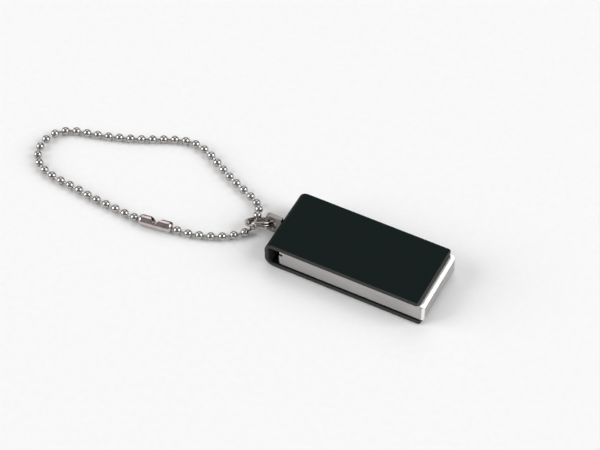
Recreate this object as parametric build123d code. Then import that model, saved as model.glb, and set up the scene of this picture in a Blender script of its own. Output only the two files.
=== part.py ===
from build123d import *
from math import pi, radians, tan
import os

# Mini swivel flash drive: a folded metal cover, a slim metal drive body that turns out of it on two
# hidden studs, and a ball chain held by a split ring in a lug at the cover's bend.
#
# Frame: +X runs from the lug to the cover's open end, +Z up, y = 0 at mid-width. The origin is under
# the middle of the drive, on the surface it lies on. Millimetres.

os.makedirs("parts", exist_ok=True)

# ---- cover: one folded strip -------------------------------------------------------------------
COVER_LENGTH = 28.58     # bend to the lower leaf's end
TOP_LEAF_SHORT = 0.55    # the upper leaf ends this much sooner
COVER_WIDTH = 13.0
COVER_HEIGHT = 5.1
SHEET = 0.8              # thickness of the strip
BEND_RADIUS = 1.7        # outside of the two folds
INNER_BEND_RADIUS = 0.6
LEAF_CORNER = 0.5        # corners of the leaves at the open end
LEAF_EDGE = 0.28         # rounded edges all round the strip

# ---- where the pieces stand along X ------------------------------------------------------------
LUG_REACH = 2.92         # lug tip to the cover's bend
BODY_PAST_END = 0.45     # the body's rear end shows past the lower leaf
X_TIP = -(LUG_REACH + COVER_LENGTH + BODY_PAST_END) / 2
X_BEND = X_TIP + LUG_REACH
X_OPEN = X_BEND + COVER_LENGTH
X_REAR = X_OPEN + BODY_PAST_END
STOWED_GAP = 1.6         # plug end to the inside of the bend
X_PLUG = X_BEND + SHEET + STOWED_GAP
X_PIVOT = X_REAR - 6.3

# ---- drive body ---------------------------------------------------------------------------------
LOWER_GAP = 0.15         # lower washer's thickness
UPPER_GAP = 0.10         # upper washer's thickness
BODY_Z = SHEET + LOWER_GAP
BODY_TOP = COVER_HEIGHT - SHEET - UPPER_GAP
BODY_WIDTH = 12.38
BODY_CORNER = 0.6
SIDE_WALL = 0.45
END_WALL = 0.6
FLOOR = 0.6
PLATE = 0.6
EDGE_BREAK = 0.14
SEAM = 0.1               # fine groove where the rear wall's tab meets each side
PLUG_DEPTH = 12.3        # how far the body goes into a socket
MOUTH_WIDTH = 11.46      # open front above the contacts
TIP_NOTCH = 0.45         # notch in each side wall's tip, under a small nib

# ---- flash module, from the tray's floor up -----------------------------------------------------
MODULE_LENGTH = 24.8
MODULE_WIDTH = 11.3
PAD = 0.10               # adhesive
RESIN = 1.05
BOARD = 0.30
CONTACT = 0.05
RESIN_Z = BODY_Z + FLOOR + PAD
BOARD_Z = RESIN_Z + RESIN
CONTACT_Z = BOARD_Z + BOARD
CONTACT_TOP = CONTACT_Z + CONTACT
X_MODULE = X_PLUG + END_WALL + 0.1
POCKET_ROOM = 0.02       # the resin's pockets round the chips

# ---- pivot ---------------------------------------------------------------------------------------
STUD_RADIUS = 1.2
STUD_CLEARANCE = 0.05
SPIGOT_RADIUS = 0.8
SPIGOT_DEPTH = 0.45
BUSH_RADIUS = 1.9
WASHER_RADIUS = 2.8

# ---- lug, split ring, chain and clasp --------------------------------------------------------------
LUG_THICKNESS = 0.85
LUG_HEIGHT = 3.8
LUG_CORNER = 0.7
EYE_X = X_TIP + 1.12
EYE_WIDTH = 1.45
EYE_HEIGHT = 2.3
MID_Z = COVER_HEIGHT / 2
TENON_HEIGHT = 1.5
RETAINER = 0.35
PEEN = 0.25

RING_CENTRE = (-17.0, -0.5, 2.05)
RING_OUTWARD = (-0.955, -0.118, -0.270)   # from the lug's eye to the chain
RING_NORMAL = (-0.288, 0.562, 0.774)
RING_RADIUS = 2.325      # middle of the wire
RING_WIRE = 0.55         # across the wire, along the ring's radius
RING_THICKNESS = 0.95    # two turns of wire
TURN_GROOVE = 0.06

BEAD_RADIUS = 0.75
CHAIN_Z = BEAD_RADIUS
CLASP_CENTRE = (-32.96, -7.94)
CLASP_TURN = 7.5         # degrees about Z
CLASP_LENGTH = 6.0
CLASP_RADIUS = 1.0
CLASP_SHEET = 0.17
CLASP_END_ROUND = 0.6
CLASP_SLOT = 47          # degrees of the tube left open along its length
CLASP_HOLE = 0.25        # radius of the wire's hole in each end
CLASP_NOTCH = 1.9        # width of the V notch at the middle, where it opens; it is CLASP_RADIUS deep
NOTCH_FOOT = 0.3         # width of the notch's flat foot
CLASP_ROLL = -42         # degrees about its length: the slot and the notch lean back
HELD_BEAD = 2.1          # a held bead's distance from the clasp's middle

# The chain's route: out of the clasp, through the split ring, round its loop and back to the clasp.
CHAIN_ROUTE = [
    (-30.23, -7.6, 0.95), (-27.9, -7.5, 0.78), (-25.4, -6.8, CHAIN_Z), (-22.4, -5.7, CHAIN_Z),
    (-20.2, -4.2, CHAIN_Z), (-19.0, -3.0, CHAIN_Z), (-18.0, -1.8, 0.85), (-17.9, -0.6, 1.6),
    (-18.1, 0.7, 2.1), (-18.8, 2.6, 1.3), (-20.3, 4.2, CHAIN_Z), (-23.1, 5.4, CHAIN_Z),
    (-26.3, 6.7, CHAIN_Z), (-29.9, 8.6, CHAIN_Z), (-33.2, 10.5, CHAIN_Z), (-36.9, 11.2, CHAIN_Z),
    (-40.6, 9.8, CHAIN_Z), (-44.6, 7.7, CHAIN_Z), (-48.9, 6.0, CHAIN_Z), (-53.4, 4.7, CHAIN_Z),
    (-57.2, 3.85, CHAIN_Z), (-59.5, 1.4, CHAIN_Z), (-59.8, -2.4, CHAIN_Z), (-57.7, -5.5, CHAIN_Z),
    (-54.0, -6.8, CHAIN_Z), (-49.6, -7.1, CHAIN_Z), (-45.0, -7.85, CHAIN_Z), (-40.4, -8.05, CHAIN_Z),
    (-37.8, -8.4, 0.78), (-35.65, -8.27, 0.95),
]
ARC_SHARE = 0.45         # of the shorter run, taken by an arc


def at(x, y, z):
    return Location((x, y, z))


def box(x0, x1, y0, y1, z0, z1):
    return at((x0 + x1) / 2, (y0 + y1) / 2, (z0 + z1) / 2) * Box(x1 - x0, y1 - y0, z1 - z0)


def disc(radius, x, z0, z1):
    """An upright cylinder on the line y = 0."""
    return at(x, 0, (z0 + z1) / 2) * Cylinder(radius, z1 - z0)


def rounded_slab(x0, x1, width, corner, z0, z1):
    outline = at((x0 + x1) / 2, 0, z0) * RectangleRounded(x1 - x0, width, corner)
    return extrude(outline, z1 - z0)


def ring_of(inner, outer, x, z0, z1):
    return disc(outer, x, z0, z1) - disc(inner, x, z0, z1)


def edges_at_height(part, z):
    return part.edges().filter_by_position(Axis.Z, z - 1e-4, z + 1e-4)


# ---- the cover and what is fixed to it ------------------------------------------------------------
def cover():
    outside = Plane.XZ * Rectangle(COVER_LENGTH, COVER_HEIGHT, align=(Align.MIN, Align.MIN))
    strip = at(X_BEND, 0, 0) * extrude(outside, COVER_WIDTH / 2, both=True)
    bend_edges = strip.edges().filter_by(Axis.Y).sort_by(Axis.X)[:2]
    strip = fillet(bend_edges, BEND_RADIUS)
    hollow = box(X_BEND + SHEET, X_OPEN + 1, -COVER_WIDTH, COVER_WIDTH, SHEET, COVER_HEIGHT - SHEET)
    hollow = fillet(hollow.edges().filter_by(Axis.Y).sort_by(Axis.X)[:2], INNER_BEND_RADIUS)
    strip -= hollow
    strip -= box(X_OPEN - TOP_LEAF_SHORT, X_OPEN + 1, -COVER_WIDTH, COVER_WIDTH, MID_Z, COVER_HEIGHT + 1)
    corners = strip.edges().filter_by(Axis.Z).filter_by(lambda edge: edge.center().X > X_OPEN - 1)
    strip = fillet(corners, LEAF_CORNER)
    rims = [*strip.faces().filter_by(Axis.Y), *strip.faces().filter_by(Plane.YZ).sort_by(Axis.X)[-2:]]
    strip = fillet([edge for face in rims for edge in face.edges() if edge.length > 1], LEAF_EDGE)
    slot = box(X_BEND - 1, X_BEND + SHEET + 0.1, -LUG_THICKNESS / 2, LUG_THICKNESS / 2,
               MID_Z - TENON_HEIGHT / 2, MID_Z + TENON_HEIGHT / 2)
    strip -= slot
    strip -= disc(SPIGOT_RADIUS, X_PIVOT, SHEET - SPIGOT_DEPTH, SHEET)
    strip -= disc(SPIGOT_RADIUS, X_PIVOT, COVER_HEIGHT - SHEET, COVER_HEIGHT - SHEET + SPIGOT_DEPTH)
    return strip


def stud(root, tip, way):
    """A stud pressed into a leaf: its spigot goes into the leaf at height root, its shank ends at tip."""
    low, high = sorted((root, tip))
    shank = disc(STUD_RADIUS, X_PIVOT, low, high)
    shank = chamfer(edges_at_height(shank, tip), 0.12)
    spigot_low, spigot_high = sorted((root, root - way * SPIGOT_DEPTH))
    return shank + disc(SPIGOT_RADIUS, X_PIVOT, spigot_low, spigot_high)


def lug():
    """A plate standing on edge, with a long eye for the ring, held by a tenon through the bend."""
    plate = box(X_TIP, X_BEND, -LUG_THICKNESS / 2, LUG_THICKNESS / 2,
                MID_Z - LUG_HEIGHT / 2, MID_Z + LUG_HEIGHT / 2)
    tip_edges = plate.edges().filter_by(Axis.Y).sort_by(Axis.X)[:2]
    plate = fillet(tip_edges, LUG_CORNER)
    eye = Plane.XZ * (Location((EYE_X, MID_Z)) * SlotOverall(EYE_HEIGHT, EYE_WIDTH, rotation=90))
    plate -= extrude(eye, LUG_THICKNESS, both=True)
    faces = plate.faces().filter_by(Axis.Y)
    rims = [edge for face in faces for edge in face.edges() if edge.center().X < X_BEND - 0.01]
    plate = fillet(rims, 0.12)
    inside = X_BEND + SHEET + RETAINER
    plate += box(X_BEND, inside, -LUG_THICKNESS / 2, LUG_THICKNESS / 2,
                 MID_Z - TENON_HEIGHT / 2, MID_Z + TENON_HEIGHT / 2)
    head = box(inside, inside + PEEN, -LUG_THICKNESS / 2 - 0.2, LUG_THICKNESS / 2 + 0.2,
               MID_Z - TENON_HEIGHT / 2 - 0.2, MID_Z + TENON_HEIGHT / 2 + 0.2)
    return plate + fillet(head.faces().sort_by(Axis.X)[-1].edges(), 0.15)


def lug_retainer():
    x0 = X_BEND + SHEET
    half = COVER_HEIGHT / 2 - SHEET - INNER_BEND_RADIUS - 0.02
    plate = box(x0, x0 + RETAINER, -1.7, 1.7, MID_Z - half, MID_Z + half)
    return plate - box(x0, x0 + RETAINER, -LUG_THICKNESS / 2, LUG_THICKNESS / 2,
                       MID_Z - TENON_HEIGHT / 2, MID_Z + TENON_HEIGHT / 2)


# ---- the drive body ---------------------------------------------------------------------------------
def body_tray():
    shell = rounded_slab(X_PLUG, X_REAR, BODY_WIDTH, BODY_CORNER, BODY_Z, BODY_TOP)
    shell = chamfer(shell.faces().filter_by(Axis.Z).edges(), EDGE_BREAK)
    inner_width = BODY_WIDTH - 2 * SIDE_WALL
    shell -= rounded_slab(X_PLUG + END_WALL, X_REAR - END_WALL, inner_width, 0.6,
                          BODY_Z + FLOOR, BODY_TOP + 1)
    shell -= box(X_PLUG - 1, X_PLUG + 2, -MOUTH_WIDTH / 2, MOUTH_WIDTH / 2, CONTACT_TOP, BODY_TOP + 1)
    for side in (-1, 1):
        y0, y1 = sorted((side * MOUTH_WIDTH / 2, side * BODY_WIDTH))
        shell -= box(X_PLUG - 1, X_PLUG + 2 * TIP_NOTCH, y0, y1, CONTACT_TOP, CONTACT_TOP + 0.6)
        shell -= at(X_PLUG + 6.3, side * 3.0, BODY_Z) * Box(2.0, 2.3, 4 * FLOOR)
        shell -= at(X_REAR - BODY_CORNER, side * BODY_WIDTH / 2, MID_Z) * Box(SEAM, 2 * SEAM, COVER_HEIGHT)
    return shell - disc(BUSH_RADIUS, X_PIVOT, BODY_Z - 1, BODY_Z + FLOOR)


def top_plate():
    width = BODY_WIDTH - 2 * SIDE_WALL - 0.04
    plate = rounded_slab(X_PLUG + PLUG_DEPTH, X_REAR - END_WALL - 0.02, width, 0.58,
                         BODY_TOP - PLATE, BODY_TOP)
    plate = chamfer(edges_at_height(plate, BODY_TOP), 0.08)
    return plate - disc(BUSH_RADIUS, X_PIVOT, BODY_TOP - PLATE, BODY_TOP)


def plate_adhesive():
    return rounded_slab(X_PLUG + PLUG_DEPTH + 0.5, X_REAR - END_WALL - 0.3, 10.8, 0.5,
                        BODY_TOP - PLATE - 0.05, BODY_TOP - PLATE)


def filler_frame():
    """Moulded frame between the module and the top plate, with two long lightening windows."""
    x0, x1 = X_PLUG + PLUG_DEPTH + 0.25, X_REAR - END_WALL - 0.05
    frame = rounded_slab(x0, x1, BODY_WIDTH - 2 * SIDE_WALL - 0.1, 0.5,
                         CONTACT_Z, BODY_TOP - PLATE - 0.05)
    for side in (-1, 1):
        frame -= at((x0 + X_PIVOT) / 2 - 1, side * 2.9, CONTACT_Z) * Box(5.5, 3.2, 4)
    return frame


def module_slab(z0, height):
    return rounded_slab(X_MODULE, X_MODULE + MODULE_LENGTH, MODULE_WIDTH, 0.35, z0, z0 + height)


# Chips under the board: (x from the module's front, y, length, width, depth under the board, thickness)
CONTROLLER = (12.2, 2.9, 3.2, 3.2, 0.0, 0.35)
LOWER_FLASH = (19.2, 0.0, 9.0, 8.0, 0.0, 0.30)
UPPER_FLASH = (18.6, 0.0, 9.0, 8.0, 0.30, 0.30)
CRYSTAL = (12.2, -3.2, 2.0, 1.6, 0.0, 0.5)
CAPACITOR_SPOTS = [(9.6, y) for y in (-4.2, -2.1, 2.1, 4.2)] + [(8.0, -3.2), (8.0, 3.2)]
RESISTOR_SPOTS = [(6.0, y) for y in (-4.5, -1.5, 1.5, 4.5)]


def chip(spec, room=0.0):
    x, y, length, width, depth, thickness = spec
    top = BOARD_Z - depth + (0.01 if room else 0.0)
    bottom = BOARD_Z - depth - thickness - room
    return box(X_MODULE + x - length / 2 - room, X_MODULE + x + length / 2 + room,
               y - width / 2 - room, y + width / 2 + room, bottom, top)


def small_parts(spots, thickness):
    return [(x, y, 1.0, 0.5, 0.0, thickness) for x, y in spots]


CAPACITORS = small_parts(CAPACITOR_SPOTS, 0.5)
RESISTORS = small_parts(RESISTOR_SPOTS, 0.35)


def encapsulant():
    resin = module_slab(RESIN_Z, RESIN)
    for spec in [CONTROLLER, LOWER_FLASH, UPPER_FLASH, CRYSTAL, *CAPACITORS, *RESISTORS]:
        resin -= chip(spec, POCKET_ROOM)
    return resin


def contact(y, front, length):
    strip = rounded_slab(0, length, 1.0, 0.3, CONTACT_Z, CONTACT_TOP)
    return at(X_PLUG + front, y, 0) * strip


# ---- ring, chain and clasp --------------------------------------------------------------------------
RING_PLANE = Plane(origin=RING_CENTRE, x_dir=RING_OUTWARD, z_dir=RING_NORMAL)


def split_ring():
    """Two turns of flat wire, lying on each other with a fine groove between them."""
    half, wire = RING_THICKNESS / 2, RING_WIRE / 2
    section = Plane.XZ * (Location((RING_RADIUS, 0)) * RectangleRounded(2 * wire, 2 * half, 0.12))
    for edge in (RING_RADIUS - wire, RING_RADIUS + wire):
        section -= Plane.XZ * (Location((edge, 0)) * Rectangle(2 * TURN_GROOVE, TURN_GROOVE))
    return RING_PLANE.location * revolve(section, Axis.Z)


def corner_radii(points):
    """The radius of the arc at each corner of a route, as large as its two runs allow."""
    radii = []
    for before, corner, after in zip(points, points[1:], points[2:]):
        into, out = Vector(corner) - Vector(before), Vector(after) - Vector(corner)
        half_turn = radians(into.get_angle(out)) / 2
        radii.append(ARC_SHARE * min(into.length, out.length) / tan(half_turn))
    return radii


CLASP_PLACE = Location((CLASP_CENTRE[0], CLASP_CENTRE[1], CLASP_RADIUS), (0, 0, CLASP_TURN))


def lying_capsule(length, radius, end_round):
    bar = Rotation(0, 90, 0) * Cylinder(radius, length)
    return fillet(bar.edges().filter_by(GeomType.CIRCLE), end_round)


def ball_chain():
    """The chain as a plain tube of the beads' diameter, its ends cut to the clasp's ends."""
    radii = corner_radii(CHAIN_ROUTE)
    path = FilletPolyline(*CHAIN_ROUTE, radius=radii)
    tube = sweep(Plane(origin=path @ 0, z_dir=path % 0) * Circle(BEAD_RADIUS), path=path)
    expected = pi * BEAD_RADIUS**2 * path.length
    print("chain length", round(path.length, 2), "volume over section x length",
          round(tube.volume / expected, 4), "radii", [round(r, 1) for r in radii])
    return tube - CLASP_PLACE * lying_capsule(CLASP_LENGTH, CLASP_RADIUS, CLASP_END_ROUND)


def clasp():
    """A tube clasp of thin sheet, slit from end to end, with a V notch at the middle for a bead to go in."""
    sheet = RectangleRounded(CLASP_LENGTH, 2 * CLASP_RADIUS, CLASP_END_ROUND)
    sheet -= RectangleRounded(CLASP_LENGTH - 2 * CLASP_SHEET, 2 * (CLASP_RADIUS - CLASP_SHEET),
                              CLASP_END_ROUND - CLASP_SHEET)
    sheet -= Location((0, CLASP_HOLE - CLASP_RADIUS)) * Rectangle(2 * CLASP_LENGTH, 2 * CLASP_RADIUS)
    shell = revolve(Plane.XZ * sheet, Axis.X, revolution_arc=360 - CLASP_SLOT)
    shell = Location((0, 0, 0), (CLASP_SLOT / 2, 0, 0)) * shell
    half, foot = CLASP_NOTCH / 2, NOTCH_FOOT / 2
    outline = Polyline((-half, CLASP_RADIUS), (-foot, 0), (foot, 0), (half, CLASP_RADIUS),
                       (half, 2 * CLASP_RADIUS), (-half, 2 * CLASP_RADIUS), close=True)
    shell -= extrude(Plane.XZ * make_face(outline), 2 * CLASP_RADIUS, both=True)
    return CLASP_PLACE * Location((0, 0, 0), (CLASP_ROLL, 0, 0)) * shell


def held_beads():
    return [CLASP_PLACE * at(side * HELD_BEAD, 0, 0) * Sphere(BEAD_RADIUS) for side in (-1, 1)]


def group(solids):
    return Compound(children=solids)


NODES = {
    "cover": cover(),
    "upper_pivot_stud": stud(COVER_HEIGHT - SHEET, BODY_TOP - PLATE + 0.08, -1),
    "lower_pivot_stud": stud(SHEET, BODY_Z + FLOOR - 0.05, 1),
    "upper_washer": ring_of(STUD_RADIUS + 0.1, WASHER_RADIUS, X_PIVOT, BODY_TOP, BODY_TOP + UPPER_GAP),
    "lower_washer": ring_of(STUD_RADIUS + 0.1, WASHER_RADIUS, X_PIVOT, SHEET, BODY_Z),
    "lug": lug(),
    "lug_retainer": lug_retainer(),
    "body_tray": body_tray(),
    "top_plate": top_plate(),
    "plate_adhesive": plate_adhesive(),
    "filler_frame": filler_frame(),
    "upper_bushing": ring_of(STUD_RADIUS + STUD_CLEARANCE, BUSH_RADIUS, X_PIVOT, BODY_TOP - PLATE, BODY_TOP),
    "lower_bushing": ring_of(STUD_RADIUS + STUD_CLEARANCE, BUSH_RADIUS, X_PIVOT, BODY_Z, BODY_Z + FLOOR),
    "module_adhesive": rounded_slab(X_MODULE + 0.4, X_MODULE + MODULE_LENGTH - 0.4, MODULE_WIDTH - 0.6, 0.3,
                                    RESIN_Z - PAD, RESIN_Z),
    "encapsulant": encapsulant(),
    "circuit_board": module_slab(BOARD_Z, BOARD),
    "power_contacts": group([contact(y, 1.4, 7.6) for y in (-3.5, 3.5)]),
    "data_contacts": group([contact(y, 2.4, 6.6) for y in (-1.0, 1.0)]),
    "controller_die": chip(CONTROLLER),
    "lower_flash_die": chip(LOWER_FLASH),
    "upper_flash_die": chip(UPPER_FLASH),
    "crystal": chip(CRYSTAL),
    "capacitors": group([chip(spec) for spec in CAPACITORS]),
    "resistors": group([chip(spec) for spec in RESISTORS]),
    "split_ring": split_ring(),
    "ball_chain": ball_chain(),
    "clasp": clasp(),
    "held_beads": group(held_beads()),
}

for node, shape in NODES.items():
    export_step(shape, f"parts/{node}.step")
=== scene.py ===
from math import acos, asin, cos, pi, radians, sin, sqrt, tan

import bmesh
import bpy
from mathutils import Matrix, Vector


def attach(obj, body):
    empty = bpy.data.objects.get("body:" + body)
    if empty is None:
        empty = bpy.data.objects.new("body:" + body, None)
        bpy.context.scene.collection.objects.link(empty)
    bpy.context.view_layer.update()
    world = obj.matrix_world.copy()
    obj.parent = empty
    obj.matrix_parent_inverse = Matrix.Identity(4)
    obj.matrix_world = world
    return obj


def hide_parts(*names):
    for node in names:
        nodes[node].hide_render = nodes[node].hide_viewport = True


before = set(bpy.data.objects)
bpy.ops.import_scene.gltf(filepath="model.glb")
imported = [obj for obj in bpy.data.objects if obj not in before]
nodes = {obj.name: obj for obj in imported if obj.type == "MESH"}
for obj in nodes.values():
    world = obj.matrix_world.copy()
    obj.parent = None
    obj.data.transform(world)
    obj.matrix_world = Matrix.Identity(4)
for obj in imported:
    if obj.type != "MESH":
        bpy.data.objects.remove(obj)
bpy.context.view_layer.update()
MM = 0.001
scene = bpy.context.scene


def mm(x, y, z):
    return Vector((x, y, z)) * MM


# ---------------------------------------------------------------------------- camera
CAMERA_LENS = 130.1      # mm, on a sensor 36 mm wide
CAMERA_PLACE = (98.27, -203.8, 280.27)
CAMERA_FORWARD = (-0.3005, 0.5672, -0.7668)
CAMERA_ROLL = -0.62      # degrees


def add_camera():
    data = bpy.data.cameras.new("camera")
    data.lens = CAMERA_LENS
    data.sensor_width = 36
    data.sensor_fit = "HORIZONTAL"
    data.clip_start = 0.01
    data.clip_end = 20
    camera = bpy.data.objects.new("camera", data)
    forward = Vector(CAMERA_FORWARD).normalized()
    right = Vector((-forward.y, forward.x, 0)).normalized() * -1
    up = right.cross(forward)
    roll = radians(CAMERA_ROLL)
    right, up = right * cos(roll) + up * sin(roll), up * cos(roll) - right * sin(roll)
    turn = Matrix((right, up, -forward)).transposed().to_4x4()
    camera.matrix_world = Matrix.Translation(mm(*CAMERA_PLACE)) @ turn
    scene.collection.objects.link(camera)
    scene.camera = camera


# ---------------------------------------------------------------------------- node helpers
def new_material(name):
    material = bpy.data.materials.new(name)
    material.use_nodes = True
    tree = material.node_tree
    shader = tree.nodes["Principled BSDF"]
    return material, tree, shader


def coords(tree, scale):
    """Object coordinates in the row frame, stretched by scale."""
    where = tree.nodes.new("ShaderNodeTexCoord")
    mapping = tree.nodes.new("ShaderNodeMapping")
    mapping.inputs["Scale"].default_value = scale
    tree.links.new(where.outputs["Object"], mapping.inputs["Vector"])
    return mapping.outputs["Vector"]


def noise(tree, vector, scale, detail=3.0, rough=0.55, distortion=0.0):
    node = tree.nodes.new("ShaderNodeTexNoise")
    node.inputs["Scale"].default_value = scale
    node.inputs["Detail"].default_value = detail
    node.inputs["Roughness"].default_value = rough
    node.inputs["Distortion"].default_value = distortion
    tree.links.new(vector, node.inputs["Vector"])
    return node.outputs["Fac"]


def ramp(tree, value, *stops):
    """Colour stops (position, colour)."""
    node = tree.nodes.new("ShaderNodeValToRGB")
    elements = node.color_ramp.elements
    while len(elements) < len(stops):
        elements.new(0.5)
    for element, (position, colour) in zip(elements, stops):
        element.position = position
        element.color = (*colour, 1.0)
    tree.links.new(value, node.inputs["Fac"])
    return node.outputs["Color"]


def span(tree, value, low, high, from_low=0.3, from_high=0.7):
    node = tree.nodes.new("ShaderNodeMapRange")
    node.inputs["From Min"].default_value = from_low
    node.inputs["From Max"].default_value = from_high
    node.inputs["To Min"].default_value = low
    node.inputs["To Max"].default_value = high
    tree.links.new(value, node.inputs["Value"])
    return node.outputs["Result"]


def mixed(tree, value, first, second):
    node = tree.nodes.new("ShaderNodeMix")
    node.data_type = "RGBA"
    tree.links.new(value, node.inputs[0])
    for socket, item in ((node.inputs[6], first), (node.inputs[7], second)):
        if isinstance(item, tuple):
            socket.default_value = (*item, 1.0)
        else:
            tree.links.new(item, socket)
    return node.outputs[2]


def bumped(tree, shader, height, strength, distance):
    node = tree.nodes.new("ShaderNodeBump")
    node.inputs["Strength"].default_value = strength
    node.inputs["Distance"].default_value = distance
    tree.links.new(height, node.inputs["Height"])
    tree.links.new(node.outputs["Normal"], shader.inputs["Normal"])


def shaded(tree, colour, shade):
    """One colour multiplied by another."""
    node = tree.nodes.new("ShaderNodeMix")
    node.data_type = "RGBA"
    node.blend_type = "MULTIPLY"
    node.inputs[0].default_value = 1.0
    tree.links.new(colour, node.inputs[6])
    tree.links.new(shade, node.inputs[7])
    return node.outputs[2]


def math(tree, operation, first, second=None):
    """A Math node on two values, each a socket or a number."""
    node = tree.nodes.new("ShaderNodeMath")
    node.operation = operation
    for socket, value in zip(node.inputs, (first, second)):
        if isinstance(value, (int, float)):
            socket.default_value = value
        elif value is not None:
            tree.links.new(value, socket)
    return node.outputs[0]


def normal_parts(tree):
    """The surface normal's X, Y and Z in the piece's own axes, so the look turns with the piece."""
    where = tree.nodes.new("ShaderNodeTexCoord")
    split = tree.nodes.new("ShaderNodeSeparateXYZ")
    tree.links.new(where.outputs["Normal"], split.inputs[0])
    return [split.outputs[axis] for axis in "XYZ"]


# ---------------------------------------------------------------------------- materials
def cover_black():
    """Satin black coating with a very fine grain; the strip's sheared edges and cut ends are painted lighter
    grey, a painted reflection of the bright floor in their rounded edges.
    """
    material, tree, shader = new_material("cover_black")
    grain = noise(tree, coords(tree, (9000, 9000, 9000)), 1.0, 2.0)
    clouds = noise(tree, coords(tree, (260, 260, 260)), 1.0, 4.0, 0.6)
    edge_reflection_noise = noise(tree, coords(tree, (2600, 2600, 9000)), 1.0, 3.0, 0.6)
    face = ramp(tree, clouds, (0.30, (0.0034, 0.0084, 0.0078)), (0.70, (0.0050, 0.0108, 0.0100)))
    # Painted reflection: lighter grey on the side edges and open-end faces, standing for light caught by
    # their rounded edges.
    edge = ramp(tree, edge_reflection_noise, (0.30, (0.044, 0.045, 0.043)), (0.70, (0.064, 0.063, 0.060)))
    end_way, side_way, _ = normal_parts(tree)
    edge_reflection_way = math(tree, "MAXIMUM", end_way, math(tree, "ABSOLUTE", side_way))
    share_without_edge_reflection = span(tree, edge_reflection_way, 1.0, 0.0, 0.15, 0.55)
    tree.links.new(mixed(tree, share_without_edge_reflection, edge, face), shader.inputs["Base Color"])
    tree.links.new(span(tree, clouds, 0.44, 0.54), shader.inputs["Roughness"])
    shader.inputs["Specular IOR Level"].default_value = 0.06
    bumped(tree, shader, grain, 0.10, 0.00002)
    return material


def brushed(name, dark, light, rough, along=(250, 9000, 9000), metallic=1.0, depth=0.25):
    """Brushed metal: fine lines along the piece, with a slow change of tone."""
    material, tree, shader = new_material(name)
    lines = noise(tree, coords(tree, along), 1.0, 4.0, 0.7)
    slow = noise(tree, coords(tree, (140, 420, 420)), 1.0, 3.0, 0.5)
    tone = ramp(tree, slow, (0.3, dark), (0.7, light))
    line_tone = ramp(tree, lines, (0.3, (0.86, 0.86, 0.86)), (0.7, (1.0, 1.0, 1.0)))
    tree.links.new(shaded(tree, tone, line_tone), shader.inputs["Base Color"])
    tree.links.new(span(tree, lines, rough[0], rough[1]), shader.inputs["Roughness"])
    shader.inputs["Metallic"].default_value = metallic
    bumped(tree, shader, lines, depth, 0.000012)
    return material


def satin_body():
    """Satin aluminium with a fine lengthwise grain; its upright corners and its top rim are painted
    near-white as a painted highlight of the lamps.
    """
    material, tree, shader = new_material("body_silver")
    lines = noise(tree, coords(tree, (250, 9000, 9000)), 1.0, 4.0, 0.7)
    slow = noise(tree, coords(tree, (140, 420, 420)), 1.0, 3.0, 0.5)
    grain = noise(tree, coords(tree, (6000, 6000, 6000)), 1.0, 2.0)
    tone = ramp(tree, slow, (0.3, (0.485, 0.475, 0.462)), (0.7, (0.565, 0.553, 0.538)))
    line_tone = ramp(tree, lines, (0.3, (0.88, 0.88, 0.88)), (0.7, (1.0, 1.0, 1.0)))
    satin = shaded(tree, tone, line_tone)
    # Painted highlight: the upright corners and the up-facing faces (the top rim) get a near-white colour
    # where the softboxes' reflections would fall.
    along, across, up = normal_parts(tree)
    turn = math(tree, "ABSOLUTE", math(tree, "MULTIPLY", along, across))
    corner_highlight_mask = span(tree, turn, 0.0, 1.0, 0.10, 0.42)
    top_rim_highlight_mask = span(tree, up, 0.0, 1.0, 0.35, 0.70)
    painted_highlight_mask = math(tree, "MAXIMUM", corner_highlight_mask, top_rim_highlight_mask)
    painted_highlight_colour = ramp(tree, grain, (0.3, (0.93, 0.93, 0.92)), (0.7, (0.98, 0.98, 0.97)))
    tree.links.new(mixed(tree, painted_highlight_mask, satin, painted_highlight_colour), shader.inputs["Base Color"])
    tree.links.new(span(tree, lines, 0.28, 0.42), shader.inputs["Roughness"])
    shader.inputs["Metallic"].default_value = 1.0
    bumped(tree, shader, lines, 0.22, 0.000012)
    return material


def plated(name, dark, light, rough, scratch=0.12):
    """Bright plating with soft mottling and hairline scratches."""
    material, tree, shader = new_material(name)
    mottle = noise(tree, coords(tree, (900, 900, 900)), 1.0, 4.0, 0.6, 0.4)
    hairs = noise(tree, coords(tree, (2500, 14000, 5000)), 1.0, 3.0, 0.6)
    colour = ramp(tree, mottle, (0.32, dark), (0.68, light))
    tree.links.new(colour, shader.inputs["Base Color"])
    tree.links.new(span(tree, mottle, rough[0], rough[1]), shader.inputs["Roughness"])
    shader.inputs["Metallic"].default_value = 1.0
    bumped(tree, shader, hairs, scratch, 0.00001)
    return material


def moulded(name, dark, light, rough, scale=1400, specular=0.4, depth=0.2):
    """Moulded or cured surface: slight colour drift and a fine texture."""
    material, tree, shader = new_material(name)
    drift = noise(tree, coords(tree, (350, 350, 350)), 1.0, 3.0)
    texture = noise(tree, coords(tree, (scale, scale, scale)), 3.0, 3.0)
    tree.links.new(ramp(tree, drift, (0.3, dark), (0.7, light)), shader.inputs["Base Color"])
    tree.links.new(span(tree, texture, rough[0], rough[1]), shader.inputs["Roughness"])
    shader.inputs["Specular IOR Level"].default_value = specular
    bumped(tree, shader, texture, depth, 0.00002)
    return material


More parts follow.
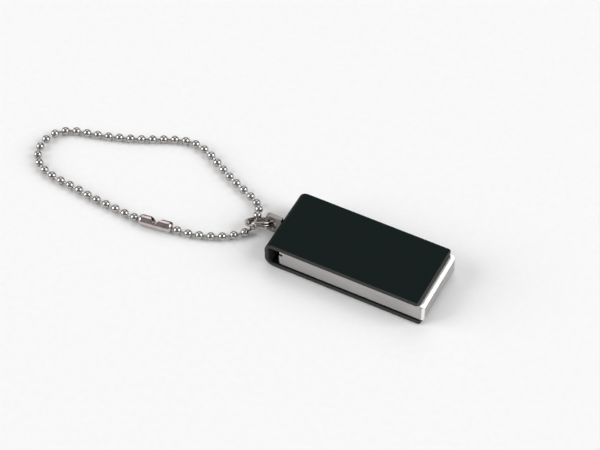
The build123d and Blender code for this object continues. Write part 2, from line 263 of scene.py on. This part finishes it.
def make_materials():
    return {
        "cover": cover_black(),
        "body": satin_body(),
        "plate": brushed("plate_silver", (0.485, 0.475, 0.462), (0.565, 0.553, 0.538), (0.28, 0.42)),
        "nickel": plated("bead_nickel", (0.40, 0.385, 0.375), (0.52, 0.505, 0.49), (0.14, 0.24)),
        "ring": plated("ring_nickel", (0.36, 0.325, 0.30), (0.48, 0.44, 0.41), (0.17, 0.28), 0.2),
        "clasp": plated("clasp_nickel", (0.45, 0.385, 0.38), (0.60, 0.53, 0.52), (0.11, 0.20), 0.06),
        "lug": plated("lug_nickel", (0.24, 0.215, 0.205), (0.33, 0.30, 0.29), (0.30, 0.42), 0.2),
        "steel": brushed("turned_steel", (0.42, 0.42, 0.43), (0.55, 0.55, 0.56), (0.25, 0.38),
                         (3000, 3000, 9000)),
        "washer": moulded("washer_nylon", (0.72, 0.72, 0.68), (0.82, 0.82, 0.79), (0.38, 0.52)),
        "black_plastic": moulded("black_plastic", (0.012, 0.012, 0.013), (0.022, 0.022, 0.024), (0.45, 0.6)),
        "adhesive": moulded("adhesive_film", (0.55, 0.50, 0.38), (0.68, 0.64, 0.52), (0.35, 0.5), 2500),
        "resin": moulded("moulding_resin", (0.008, 0.008, 0.009), (0.016, 0.016, 0.017), (0.5, 0.68), 2200),
        "board": moulded("solder_mask", (0.006, 0.075, 0.030), (0.012, 0.110, 0.045), (0.18, 0.32), 900, 0.5),
        "gold": plated("contact_gold", (0.62, 0.40, 0.13), (0.80, 0.56, 0.22), (0.16, 0.30), 0.15),
        "silicon": plated("silicon", (0.05, 0.05, 0.06), (0.09, 0.09, 0.10), (0.08, 0.16), 0.05),
        "ceramic": moulded("ceramic", (0.30, 0.20, 0.11), (0.42, 0.30, 0.18), (0.4, 0.55), 1800),
    }


NODE_MATERIALS = {
    "cover": "cover", "upper_pivot_stud": "steel", "lower_pivot_stud": "steel", "upper_washer": "washer",
    "lower_washer": "washer", "lug": "lug", "lug_retainer": "steel", "body_tray": "body",
    "top_plate": "plate", "plate_adhesive": "adhesive", "filler_frame": "black_plastic",
    "upper_bushing": "steel", "lower_bushing": "steel", "module_adhesive": "adhesive",
    "encapsulant": "resin", "circuit_board": "board", "power_contacts": "gold", "data_contacts": "gold",
    "controller_die": "silicon", "lower_flash_die": "silicon", "upper_flash_die": "silicon",
    "crystal": "steel", "capacitors": "ceramic", "resistors": "black_plastic", "split_ring": "nickel",
    "ball_chain": "nickel", "clasp": "nickel", "held_beads": "nickel",
}


def dress_nodes(materials):
    for name, key in NODE_MATERIALS.items():
        mesh = nodes[name].data
        mesh.materials.clear()
        mesh.materials.append(materials[key])


def add_object(name, mesh, material):
    mesh.shade_smooth()
    mesh.materials.append(material)
    piece = bpy.data.objects.new(name, mesh)
    scene.collection.objects.link(piece)
    return piece


# ---------------------------------------------------------------------------- the chain
# From inside the split ring, round the far side, through the clasp and back to the ring.
CHAIN_ROUTE = [
    (-17.95, -1.2, 1.225), (-17.9, -0.6, 1.6), (-18.1, 0.7, 2.1), (-18.8, 2.6, 1.3), (-20.3, 4.2, 0.75),
    (-23.1, 5.4, 0.75), (-26.3, 6.7, 0.75), (-29.9, 8.6, 0.75), (-33.2, 10.5, 0.75), (-36.9, 11.2, 0.75),
    (-40.6, 9.8, 0.75), (-44.6, 7.7, 0.75), (-48.9, 6.0, 0.75), (-53.4, 4.7, 0.75), (-57.2, 3.85, 0.75),
    (-59.5, 1.4, 0.75), (-59.8, -2.4, 0.75), (-57.7, -5.5, 0.75), (-54.0, -6.8, 0.75), (-49.6, -7.1, 0.75),
    (-45.0, -7.85, 0.75), (-40.4, -8.05, 0.75), (-37.8, -8.4, 0.78), (-35.65, -8.27, 0.95),
    (-30.23, -7.6, 0.95), (-27.9, -7.5, 0.78), (-25.4, -6.8, 0.75), (-22.4, -5.7, 0.75),
    (-20.2, -4.2, 0.75), (-19.0, -3.0, 0.75), (-18.0, -1.8, 0.85), (-17.95, -1.2, 1.225),
]
BEAD_RADIUS = 0.74
BEAD_MOUTH = 0.27        # radius of the hole at each end of a bead
BEAD_STEPS = 14
BEAD_SEGMENTS = 22
BEAD_SPIN = 0.7          # radians, from one bead to the next
WIRE_RADIUS = 0.2
WIRE_STEP = 0.25
WIRE_SEGMENTS = 10
PITCH = 1.926
TANGENT_REACH = 0.15


def chain_line():
    """The route's smooth line, as evenly read points in the row frame, in mm."""
    curve = bpy.data.curves.new("chain_line", "CURVE")
    curve.dimensions = "3D"
    spline = curve.splines.new("NURBS")
    spline.points.add(len(CHAIN_ROUTE) - 1)
    for point, place in zip(spline.points, CHAIN_ROUTE):
        point.co = (*(c * MM for c in place), 1.0)
    spline.order_u = 3
    spline.use_endpoint_u = True
    spline.resolution_u = 24
    holder = bpy.data.objects.new("chain_line", curve)
    scene.collection.objects.link(holder)
    depsgraph = bpy.context.evaluated_depsgraph_get()
    mesh = bpy.data.meshes.new_from_object(holder.evaluated_get(depsgraph))
    points = [v.co / MM for v in mesh.vertices]
    bpy.data.objects.remove(holder)
    bpy.data.meshes.remove(mesh)
    return points


class Line:
    """A polyline read by its arc length."""

    def __init__(self, points):
        self.points = points
        self.along = [0.0]
        for a, b in zip(points, points[1:]):
            self.along.append(self.along[-1] + (b - a).length)
        self.length = self.along[-1]

    def at(self, s):
        s = min(max(s, 0.0), self.length)
        low, high = 0, len(self.along) - 1
        while high - low > 1:
            middle = (low + high) // 2
            if self.along[middle] <= s:
                low = middle
            else:
                high = middle
        share = (s - self.along[low]) / max(self.along[high] - self.along[low], 1e-9)
        return self.points[low].lerp(self.points[high], share)

    def tangent(self, s):
        return (self.at(s + TANGENT_REACH) - self.at(s - TANGENT_REACH)).normalized()


def circle_row(bm, place, axis, radius, segments, spin=0.0):
    """Vertices in a circle about axis, in mm."""
    side = axis.cross(Vector((0, 0, 1)) if abs(axis.z) < 0.9 else Vector((1, 0, 0))).normalized()
    other = axis.cross(side)
    row = []
    for k in range(segments):
        angle = 2 * pi * k / segments + spin
        offset = side * (radius * cos(angle)) + other * (radius * sin(angle))
        row.append(bm.verts.new((place + offset) * MM))
    return row


def skin_rows(bm, rows):
    """Faces from each closed row to the next, and one across each end."""
    for first, second in zip(rows, rows[1:]):
        for k in range(len(first)):
            n = (k + 1) % len(first)
            bm.faces.new((first[k], first[n], second[n], second[k]))
    bm.faces.new(list(reversed(rows[0])))
    bm.faces.new(rows[-1])


def bead_profile():
    """(along, radius) of a hollow bead in mm, its mouths turned in round the wire."""
    edge = sqrt(1 - (BEAD_MOUTH / BEAD_RADIUS) ** 2)
    reach = BEAD_RADIUS * edge
    limit = asin(edge)
    lip = [(reach - 0.03, BEAD_MOUTH - 0.04), (reach - 0.14, BEAD_MOUTH - 0.06)]
    ball = []
    for k in range(BEAD_STEPS + 1):
        angle = -limit + 2 * limit * k / BEAD_STEPS
        ball.append((BEAD_RADIUS * sin(angle), BEAD_RADIUS * cos(angle)))
    return [(-along, radius) for along, radius in reversed(lip)] + ball + lip


def add_bead(bm, origin, axis, spin):
    skin_rows(bm, [circle_row(bm, origin + axis * along, axis, radius, BEAD_SEGMENTS, spin)
                   for along, radius in bead_profile()])


def add_wire(bm, line):
    """The wire through the beads, all along the line."""
    count = int(line.length / WIRE_STEP)
    places = [line.length * k / count for k in range(count + 1)]
    skin_rows(bm, [circle_row(bm, line.at(s), line.tangent(s), WIRE_RADIUS, WIRE_SEGMENTS) for s in places])


CLASP_CENTRE = Vector((-32.96, -7.94, 1.0))
CLASP_TURN = radians(7.5)
CLASP_AXIS = Vector((cos(CLASP_TURN), sin(CLASP_TURN), 0))
HELD_BEAD = 2.1


def nearest_on(line, place):
    best = min(range(len(line.points)), key=lambda k: (line.points[k] - place).length)
    return line.along[best]


def build_chain(materials, held):
    line = Line(chain_line())
    left = nearest_on(line, CLASP_CENTRE - CLASP_AXIS * HELD_BEAD)
    right = nearest_on(line, CLASP_CENTRE + CLASP_AXIS * HELD_BEAD)
    free = line.length - (right - left)
    count = round(free / PITCH)
    pitch = free / count
    places = [(right + k * pitch) % line.length for k in range(count + 1)]
    bm = bmesh.new()
    for index, s in enumerate(places):
        add_bead(bm, line.at(s), line.tangent(s), index * BEAD_SPIN)
    add_wire(bm, line)
    mesh = bpy.data.meshes.new("chain")
    bm.to_mesh(mesh)
    bm.free()
    piece = add_object("bead_chain", mesh, materials["nickel"])
    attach(piece, "key_ring_body")
    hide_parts("ball_chain", "held_beads")


# ---------------------------------------------------------------------------- split ring
RING_CENTRE = Vector((-17.0, -0.5, 2.05))
RING_OUTWARD = Vector((-0.955, -0.118, -0.270))
RING_NORMAL = Vector((-0.288, 0.562, 0.774))
RING_RADIUS = 2.325
WIRE_WIDE = 0.54
WIRE_THICK = 0.455
TURN_OFFSET = 0.238
STEP_AT = 84             # degrees from RING_OUTWARD: where the wire climbs from turn to turn
STEP_SPAN = 14
WIRE_CORNER = 0.19
WIRE_END_SHRINK = 0.86   # the wire's cut ends are a little narrower
RING_STEPS = 150


def ring_section():
    """Rounded wire section, (radial, axial) in mm."""
    points = []
    for side_x, side_y, start in ((1, 1, 0), (-1, 1, 90), (-1, -1, 180), (1, -1, 270)):
        for k in range(4):
            angle = radians(start + 30 * k)
            points.append((side_x * (WIRE_WIDE / 2 - WIRE_CORNER) + WIRE_CORNER * cos(angle),
                           side_y * (WIRE_THICK / 2 - WIRE_CORNER) + WIRE_CORNER * sin(angle)))
    return points


def build_ring(materials):
    """Two turns of wire, one lying on the other, with the step where it climbs from turn to turn."""
    up = RING_NORMAL.normalized()
    out = (RING_OUTWARD - up * RING_OUTWARD.dot(up)).normalized()
    across = up.cross(out)
    section = ring_section()
    bm = bmesh.new()
    rows = []
    start, end = STEP_AT + STEP_SPAN, STEP_AT + 720 - STEP_SPAN
    for k in range(RING_STEPS + 1):
        degree = start + (end - start) * k / RING_STEPS
        share = min(max((degree - (STEP_AT + 360 - STEP_SPAN * 0.8)) / (STEP_SPAN * 1.6), 0.0), 1.0)
        climb = share * share * (3 - 2 * share)
        lift = TURN_OFFSET * (2 * climb - 1)
        shrink = WIRE_END_SHRINK if k in (0, RING_STEPS) else 1.0
        ray = out * cos(radians(degree)) + across * sin(radians(degree))
        row = []
        for radial, axial in section:
            place = RING_CENTRE + ray * (RING_RADIUS + radial * shrink) + up * (lift + axial * shrink)
            row.append(bm.verts.new(place * MM))
        rows.append(row)
    size = len(section)
    for first, second in zip(rows, rows[1:]):
        for j in range(size):
            n = (j + 1) % size
            bm.faces.new((first[j], second[j], second[n], first[n]))
    bm.faces.new(rows[0])
    bm.faces.new(list(reversed(rows[-1])))
    bmesh.ops.recalc_face_normals(bm, faces=bm.faces)
    mesh = bpy.data.meshes.new("split_ring_wire")
    bm.to_mesh(mesh)
    bm.free()
    piece = add_object("split_ring_wire", mesh, materials["ring"])
    piece.data.set_sharp_from_angle(angle=radians(50))
    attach(piece, "key_ring_body")
    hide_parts("split_ring")
    return piece


# ---------------------------------------------------------------------------- clasp
CLASP_LENGTH = 6.0
CLASP_RADIUS = 1.0
CLASP_SHEET = 0.16
CLASP_SLOT = 47          # degrees left open along its length
CLASP_NOTCH = 1.9        # width of the V notch where it opens; it reaches the tube's axis
NOTCH_FOOT = 0.3
CLASP_ROLL = radians(42)  # the slot and the notch lean back by this
CLASP_HOLE = 0.26
END_ROUND = 0.62
END_INSET = 0.0001       # keeps the end discs apart from the rounded ends' first rows
TURN_STEPS = 36
RIM_ROUND = 0.035


def clasp_radius(u):
    """Outer radius at u mm from the clasp's middle: a tube with rounded ends."""
    past = abs(u) - (CLASP_LENGTH / 2 - END_ROUND)
    if past <= 0:
        return CLASP_RADIUS
    return CLASP_RADIUS - END_ROUND + sqrt(max(END_ROUND**2 - past**2, 0))


def clasp_opening(u, radius):
    """Half angle of the opening at u, from its middle: the slot, or the V notch at mid-length."""
    slot = radians(CLASP_SLOT / 2)
    reach = (abs(u) - NOTCH_FOOT / 2) / ((CLASP_NOTCH - NOTCH_FOOT) / 2)
    if reach >= 1:
        return slot
    return max(slot, acos(max(0.0, reach) * CLASP_RADIUS / radius))


def build_clasp(materials):
    """Two bead cups in one rolled sheet: a tube with rounded ends and a V notch."""
    across = Vector((0, 0, 1)).cross(CLASP_AXIS)
    open_way = Vector((0, 0, cos(CLASP_ROLL))) + across * sin(CLASP_ROLL)
    side_way = across * cos(CLASP_ROLL) - Vector((0, 0, sin(CLASP_ROLL)))
    half = CLASP_LENGTH / 2
    stations = [-half + END_ROUND * (1 - cos(radians(10 * k + 10))) for k in range(9)]
    stations += [-half + END_ROUND + 0.12 * k for k in range(1, 12)]
    stations += [-0.95 + 0.08 * k for k in range(12)]
    stations += [-u for u in reversed(stations)]
    stations = sorted(set(round(u, 4) for u in stations))
    face = half - END_INSET
    rings = [(-face, CLASP_HOLE), (-face, CLASP_RADIUS - END_ROUND)]
    rings += [(u, clasp_radius(u)) for u in stations]
    rings += [(face, CLASP_RADIUS - END_ROUND), (face, CLASP_HOLE)]
    bm = bmesh.new()
    rows = []
    for u, radius in rings:
        opening = clasp_opening(u, radius)
        row = []
        for k in range(TURN_STEPS + 1):
            angle = opening + (2 * pi - 2 * opening) * k / TURN_STEPS
            place = (CLASP_CENTRE + CLASP_AXIS * u + side_way * (radius * sin(angle))
                     + open_way * (radius * cos(angle)))
            row.append(bm.verts.new(place * MM))
        rows.append(row)
    for first, second in zip(rows, rows[1:]):
        for k in range(TURN_STEPS):
            bm.faces.new((first[k], first[k + 1], second[k + 1], second[k]))
    bmesh.ops.recalc_face_normals(bm, faces=bm.faces)
    mesh = bpy.data.meshes.new("tube_clasp")
    bm.to_mesh(mesh)
    bm.free()
    piece = add_object("tube_clasp", mesh, materials["clasp"])
    middle = min(mesh.polygons, key=lambda polygon: polygon.center.z)
    skin = piece.modifiers.new("sheet", "SOLIDIFY")
    skin.thickness = CLASP_SHEET * MM
    skin.offset = -1 if middle.normal.z < 0 else 1
    skin.use_even_offset = False
    rim = piece.modifiers.new("rim", "BEVEL")
    rim.width = RIM_ROUND * MM
    rim.segments = 2
    rim.limit_method = "ANGLE"
    rim.angle_limit = radians(50)
    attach(piece, "key_ring_body")
    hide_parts("clasp")
    return piece


# ---------------------------------------------------------------------------- floor and light
FLOOR_REACH = 1.6        # m, each way
FLOOR_DROP = 0.00002     # m, clear of the cover's underside


def add_floor():
    bm = bmesh.new()
    bmesh.ops.create_grid(bm, x_segments=8, y_segments=8, size=FLOOR_REACH)
    mesh = bpy.data.meshes.new("floor")
    bm.to_mesh(mesh)
    bm.free()
    floor = bpy.data.objects.new("floor", mesh)
    floor.location = (0, 0, -FLOOR_DROP)
    scene.collection.objects.link(floor)
    material, tree, shader = new_material("floor_paper")
    fine = noise(tree, coords(tree, (900, 900, 900)), 1.0, 2.0)
    tree.links.new(ramp(tree, fine, (0.3, (0.93, 0.93, 0.93)), (0.7, (0.95, 0.95, 0.95))),
                   shader.inputs["Base Color"])
    shader.inputs["Roughness"].default_value = 0.9
    shader.inputs["Specular IOR Level"].default_value = 0.1
    mesh.materials.append(material)


SOFTBOX_DISTANCE = 2.2   # m


def add_softbox(name, direction, half_angle, radiance):
    """A square softbox that faces the drive, as wide as half_angle degrees each side of its middle."""
    size = 2 * SOFTBOX_DISTANCE * tan(radians(half_angle))
    data = bpy.data.lights.new(name, "AREA")
    data.shape = "SQUARE"
    data.size = size
    data.energy = radiance * pi * size * size
    light = bpy.data.objects.new(name, data)
    light.location = Vector(direction).normalized() * SOFTBOX_DISTANCE
    light.rotation_euler = Vector(direction).to_track_quat("Z", "Y").to_euler()
    scene.collection.objects.link(light)


def add_world():
    """Dim studio round the drive, seen by the camera as a pale backdrop."""
    world = bpy.data.worlds.new("studio")
    scene.world = world
    world.use_nodes = True
    tree = world.node_tree
    background = tree.nodes["Background"]
    background.inputs["Color"].default_value = (0.26, 0.26, 0.262, 1)
    backdrop = tree.nodes.new("ShaderNodeBackground")
    backdrop.inputs["Color"].default_value = (1.0, 1.0, 1.0, 1)
    path = tree.nodes.new("ShaderNodeLightPath")
    choose = tree.nodes.new("ShaderNodeMixShader")
    tree.links.new(path.outputs["Is Camera Ray"], choose.inputs[0])
    tree.links.new(background.outputs[0], choose.inputs[1])
    tree.links.new(backdrop.outputs[0], choose.inputs[2])
    tree.links.new(choose.outputs[0], tree.nodes["World Output"].inputs["Surface"])


def add_lights():
    add_softbox("left_softbox", (-0.75, -0.45, 0.50), 19, 4.2)
    add_softbox("right_softbox", (0.80, 0.20, 0.556), 20, 4.0)
    add_softbox("back_softbox", (-0.30, 0.567, 0.767), 22, 1.15)


add_camera()
materials = make_materials()
dress_nodes(materials)
build_chain(materials, [build_clasp(materials), build_ring(materials)])
add_floor()
add_world()
add_lights()
scene.view_settings.view_transform = "Standard"

bpy.context.view_layer.update()
